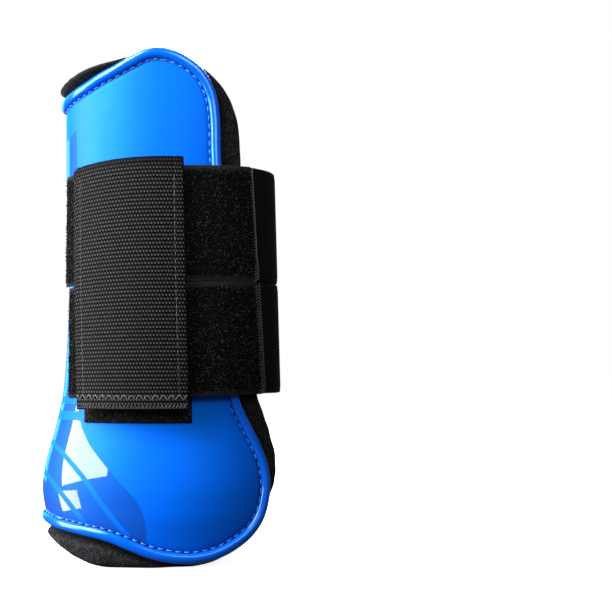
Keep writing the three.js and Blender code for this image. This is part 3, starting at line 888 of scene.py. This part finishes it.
def make_overlock(name, strap):
    """Slanting seam threads over the join of elastic and loop strap."""
    pitch = 1.4
    narrows = strap["seam_narrows"]
    z = np.arange(strap["low"][1] + 1.2, strap["high"][1] - 1.2, pitch)
    f = np.linspace(0, 1, 7)
    spread = lerp(1.0, 0.4, smooth(z, narrows, narrows + 6))[:, None]
    turn = JOIN(z)[:, None] + np.radians(lerp(-2.0, 2.0, f))[None] * spread
    height = z[:, None] + lerp(-1.15, 1.15, f)[None]
    arch = STRAP_FACE - 0.35 + 0.75 * np.sin(np.pi * f)[None] * np.ones_like(turn)
    paths = surface(turn, height, arch)
    obj = tubes(f"{name}_seam_thread", paths, 0.17 * MM, 5, normals(turn, height))
    finish_piece(obj, MATERIALS["thread_seam"], f"{name}_strap_front")


def make_hook_tape(name, band, layers, body, node, seed):
    """Hook tape on the inner face: a thin backing with rows of nylon hooks."""
    base, face = layers
    a, b, turn, z, edge = band.grid(60, 30, 0.5)
    share = rounded(edge, 0.5)
    backing, pitch, margin = 0.35, 1.5, 1.2
    outer = surface(turn, z, face - 0.2 + 0.2 * share)
    inner = surface(turn, z, face - 0.2 - backing * share)
    obj = slab(f"{name}_hook_backing", outer, inner, np.stack([a, b], -1))
    finish_piece(obj, MATERIALS["hook"], body, nodes=[node])
    rows = (np.arange(margin, size - margin, pitch) for size in (band.length, band.width))
    along, across = np.meshgrid(*rows)
    rng = np.random.default_rng(seed)
    along = along.ravel() + rng.uniform(-0.15, 0.15, along.size)
    turn, z = band.place(band.along(along), across.ravel() / band.width)
    root = surface(turn, z, face - 0.2 - backing)
    inward = -normals(turn, z)
    up = np.tile([0, 0, 1.0], (len(root), 1)) * np.where(np.arange(len(root)) % 2, 1, -1)[:, None]
    reach = (face - 0.2 - backing - base) * 0.9 * MM
    f = np.array([0, 0.45, 0.85, 1.0, 0.78])[None, :, None]
    bow = np.array([0, 0.02, 0.12, 0.38, 0.6])[None, :, None]
    paths = root[:, None] + inward[:, None] * reach * f + up[:, None] * reach * bow
    hooks = tubes(f"{name}_hooks", paths, 0.1 * MM, 4, np.cross(inward, up) + 0.01)
    finish_piece(hooks, MATERIALS["hook"], body)


def make_fixed_tape():
    """Upright loop tape on the shell, with taller pile where it shows below the straps."""
    band = Band(*map(at_x, FIXED_TAPE_X), *map(level, FIXED_TAPE_Z))
    a, b, turn, z, edge = band.grid(60, 90, 0.7)
    share = rounded(edge, 0.7)
    outer = surface(turn, z, 0.6 + 0.5 * share)
    inner = surface(turn, z, 0.6 - 0.4 * share)
    obj = slab("fixed_tape_cloth", outer, inner, np.stack([a, b], -1))
    finish_piece(obj, MATERIALS["tape"], "shell", nodes=["fixed_loop_tape"])
    points, normal = scatter(band, 0.5, 0.5, 1.0, 31)
    height = np.where(points[:, 2] < 0.074, 0.75, 0.3)[:, None, None] * MM
    # Contrast 1.3 paints glints on far more of these loops.
    pile = loop_pile("fixed_tape_pile", points, normal, height, 0.07 * MM, 32, 1.3)
    finish_piece(pile, MATERIALS["pile"], "shell")


# ---------------------------------------------------------------------------
# Cover flap
# ---------------------------------------------------------------------------
def flap_bend():
    """Where the webbing bends off the strap when the flap is lifted."""
    z = sum(FLAP_TOP) / 2
    turn = float(turn_at(FLAP_FOLD_X, z))
    start, end = (surface(turn, z - below, FLAP_FACE) for below in (1, 20))
    return ("upper_strap_end", "flap", tuple(start), tuple(end))


def make_flap():
    """Ribbed webbing that folds over at the top and comes down on both sides."""
    front_length = FLAP_TOP[1] - FLAP_BOTTOM - FOLD_RADIUS
    fold_length = math.pi * FOLD_RADIUS
    total = front_length + fold_length + FLAP_BACK_LENGTH
    run = np.arange(0, total, RIB_PITCH / 8)
    border = np.array([0, 0.1, 0.3, 0.6])
    weave = np.arange(0.85, FLAP_WIDTH - 0.8, DOT_PITCH / 5)
    across = np.concatenate([border, weave, FLAP_WIDTH - border[::-1]])
    s, w = np.meshgrid(run, across / FLAP_WIDTH, indexing="ij")
    top = lerp(*FLAP_TOP, w) + 1.3 * np.sin(np.pi * w) - 1.2 * (1 - smooth(w, 0, 0.05))
    stretch = (top - FLAP_BOTTOM - FOLD_RADIUS) / front_length
    front = s < front_length
    bent = (s >= front_length) & (s < front_length + fold_length)
    angle = np.clip((s - front_length) / FOLD_RADIUS, 0, math.pi)
    z = np.where(front, FLAP_BOTTOM + s * stretch, top - FOLD_RADIUS + FOLD_RADIUS * np.sin(angle))
    z = np.where(front | bent, z, top - FOLD_RADIUS - (s - front_length - fold_length))
    out = np.where(front, WEB_FACE, WEB_FACE - FOLD_RADIUS * (1 - np.cos(angle)))
    slack = 0.5 * smooth(100 - z, 0, 28) * front
    out = out + slack * np.sin(w * math.pi) ** 0.5
    outward = np.cos(angle)
    upward = np.sin(angle)
    start = flap_side(FLAP_BACK_X)(z)
    turn = lerp(start, flap_side(FLAP_FRONT_X)(z), w)
    mm = w * FLAP_WIDTH
    side = np.minimum(mm, FLAP_WIDTH - mm)
    smooth_band = smooth(s, front_length - 3.4, front_length - 1.6)
    row, step = np.divmod(s / RIB_PITCH, 1)
    rib = np.sin(np.pi * step)
    dots = 0.5 + 0.5 * np.cos(2 * np.pi * (mm / DOT_PITCH + 0.5 * (row % 2) + 0.4 * step))
    plain = (1 - 0.6 * smooth_band) * smooth(side, 0.1, 0.9)
    # Painted highlight and shade: this lightens the tops of ribs and dots as yarn glints, and leaves dark
    # the gullies, the smooth band under the fold and the side edges.
    yarn = smooth(rib ** 2 * dots, 0.15, 0.95) * plain
    relief = 0.34 * rib ** 0.7 * (0.3 + 0.7 * dots) * plain
    gully = 0.18 * np.exp(-((side - FLAP_ROW_INSET) / 0.45) ** 2)
    end = np.minimum(s, total - s)
    thick = 0.42 * rounded(np.minimum(side, end), 0.6)
    crown = thick + (relief - gully) * rounded(np.minimum(side, end), 0.6)

    def skin(offset):
        return surface(turn, z + offset * upward, out + offset * outward)

    # The webbing's material reads its painted glints and shade from this value.
    obj = slab("flap_webbing", skin(crown), skin(-thick), np.stack([mm, s], -1), {"yarn": yarn})
    finish_piece(obj, MATERIALS["web"], bend=flap_bend(), nodes=["cover_flap", "flap_sewn_root"])


def flap_threads(name, share, z, out, radius, sides, material):
    """Stitches on the flap's face at a fraction across, a height and a distance out."""
    turn = lerp(flap_side(FLAP_BACK_X)(z), flap_side(FLAP_FRONT_X)(z), share)
    obj = tubes(name, surface(turn, z, out), radius * MM, sides, normals(turn, z))
    finish_piece(obj, MATERIALS[material], bend=flap_bend())


def flap_stitches():
    """Two rows along the sides, a zigzag row above the lower end and an edging row along it."""
    face = WEB_FACE + 0.62
    f = np.linspace(0, 1, 6)
    arch = 0.3 * np.sin(np.pi * f)
    row = np.arange(FLAP_BOTTOM + 7, FLAP_TOP[0] - 4, 3.4)
    z = np.tile(row, 2)[:, None] + 2.6 * f
    inset = FLAP_ROW_INSET / FLAP_WIDTH
    share = np.repeat([inset, 1 - inset], len(row))[:, None]
    flap_threads("flap_side_stitching", share, z, face - 0.28 + arch, 0.16, 5, "thread_black")
    count = 30
    edges = np.linspace(0.02, 0.98, count + 1)
    share = lerp(edges[:-1, None], edges[1:, None], f)
    z = FLAP_BOTTOM + 5.6 + np.where(np.arange(count) % 2, 1, -1)[:, None] * (f - 0.5) * 2.2
    flap_threads("flap_zigzag_stitching", share, z, face + 0.1 + arch, 0.3, 6, "thread_plum")
    share = np.arange(0.015, 0.975, 0.031)[:, None] + 0.026 * f
    z = FLAP_BOTTOM + 0.9 + 1.5 * f + 0 * share
    flap_threads("flap_edge_stitching", share, z, face - 0.05 + arch, 0.26, 6, "thread_grey")


# ---------------------------------------------------------------------------
# Stage: floor, light and camera
# ---------------------------------------------------------------------------
CAMERA_DISTANCE = 0.56
EYE_HEIGHT = 0.091
LENS = 67.3
AIM_RIGHT = math.radians(7.17)
AIM_UP = math.radians(2.95)


def make_camera():
    data = bpy.data.cameras.new("camera")
    data.sensor_width = 36
    data.lens = LENS
    camera = bpy.data.objects.new("camera", data)
    bpy.context.collection.objects.link(camera)
    camera.location = (CENTRING[0] * MM, CENTRING[1] * MM - CAMERA_DISTANCE, EYE_HEIGHT)
    camera.rotation_euler = (math.pi / 2 + AIM_UP, 0, -AIM_RIGHT)
    bpy.context.scene.camera = camera


def area_light(
    name, azimuth, elevation, distance, size, watts, height=0.11, color=(1, 1, 1), roll=0, spread=180,
):
    """Soft light aimed at the boot's axis; azimuth 0 is the camera's side, and it grows to the right."""
    data = bpy.data.lights.new(name, "AREA")
    data.shape = "RECTANGLE"
    data.size, data.size_y = size
    data.energy = watts
    data.color = color
    data.spread = math.radians(spread)
    light = bpy.data.objects.new(name, data)
    a, e = math.radians(azimuth), math.radians(elevation)
    direction = np.array([math.sin(a) * math.cos(e), -math.cos(a) * math.cos(e), math.sin(e)])
    light.location = np.array([0, 0, height]) + direction * distance
    aim = Vector(direction).to_track_quat("Z", "Y")
    light.rotation_euler = (aim @ Quaternion((0, 0, 1), math.radians(roll))).to_euler()
    bpy.context.collection.objects.link(light)


def make_floor():
    """White floor that the camera sees, but that takes no shadow and lights nothing."""
    bpy.ops.mesh.primitive_plane_add(size=6, location=(0, 0, -0.0004))
    floor = bpy.context.object
    floor.name = "floor"
    s = Shader("floor_white", (0.8, 0.8, 0.8), 0.9, Specular_IOR_Level=0.0)
    s.set("Emission Color", (1, 1, 1, 1))
    s.set("Emission Strength", 0.9)
    floor.data.materials.append(s.material)
    floor.visible_diffuse = False
    floor.visible_glossy = False
    floor.visible_shadow = False


def make_world():
    """White backdrop for the camera, and a dim even light for the boot."""
    world = bpy.data.worlds.new("studio")
    world.use_nodes = True
    tree = world.node_tree
    background = tree.nodes["Background"]
    seen = tree.nodes.new("ShaderNodeBackground")
    for node, strength in ((background, 0.1), (seen, 1.0)):
        node.inputs["Color"].default_value = (1, 1, 1, 1)
        node.inputs["Strength"].default_value = strength
    path = tree.nodes.new("ShaderNodeLightPath")
    mix = tree.nodes.new("ShaderNodeMixShader")
    tree.links.new(path.outputs["Is Camera Ray"], mix.inputs[0])
    tree.links.new(background.outputs[0], mix.inputs[1])
    tree.links.new(seen.outputs[0], mix.inputs[2])
    tree.links.new(mix.outputs[0], tree.nodes["World Output"].inputs["Surface"])
    bpy.context.scene.world = world
    bpy.context.scene.view_settings.view_transform = "Standard"


def make_lights():
    area_light("softbox_left", -74, 21, 0.8, (0.78, 0.52), 21, height=0.06, roll=14)
    area_light("softbox_low", -86, -11, 0.8, (0.4, 0.17), 3, height=0.06, roll=8)
    area_light("edge_left", -146, 12, 1.0, (0.36, 0.7), 2.4, color=(0.1, 0.72, 1))
    area_light("high_left", -60, 46, 0.8, (0.4, 0.4), 13, height=0.07)
    area_light("upper_right", 18, 24, 0.4, (0.26, 0.32), 0.22, height=0.215, spread=50)
    area_light("strip_right", 36, 24, 1.1, (0.07, 0.9), 0.35)
    area_light("back_fill", 172, 35, 1.2, (0.8, 0.5), 16)


make_camera()
make_floor()
make_world()
make_lights()
make_shell()
make_rim()
make_rim_stitching()
make_foam()
make_lining()
make_fixed_tape()
for strap_name, strap_sizes in STRAPS.items():
    make_loop_strap(strap_name, strap_sizes)
    make_elastic(strap_name, strap_sizes)
    make_overlock(strap_name, strap_sizes)
    hook_low, hook_high = strap_sizes["low"][1] + 2, strap_sizes["high"][0] - 2
    hook_band = Band(at_x(strap_sizes["hook_x"]), at_x(HOOK_FRONT_X), level(hook_low), level(hook_high))
    strap_body, hook_node = f"{strap_name}_strap_end", f"{strap_name}_hook_tape"
    make_hook_tape(f"{strap_name}_strap", hook_band, STRAP_HOOKS, strap_body, hook_node, 41)
make_flap()
flap_stitches()
flap_hook_band = Band(flap_side(FLAP_BACK_X, 2), flap_side(FLAP_FRONT_X, -2), *map(level, FLAP_HOOKS_Z))
make_hook_tape("flap", flap_hook_band, FLAP_HOOKS, "flap", "flap_hook_tape", 42)
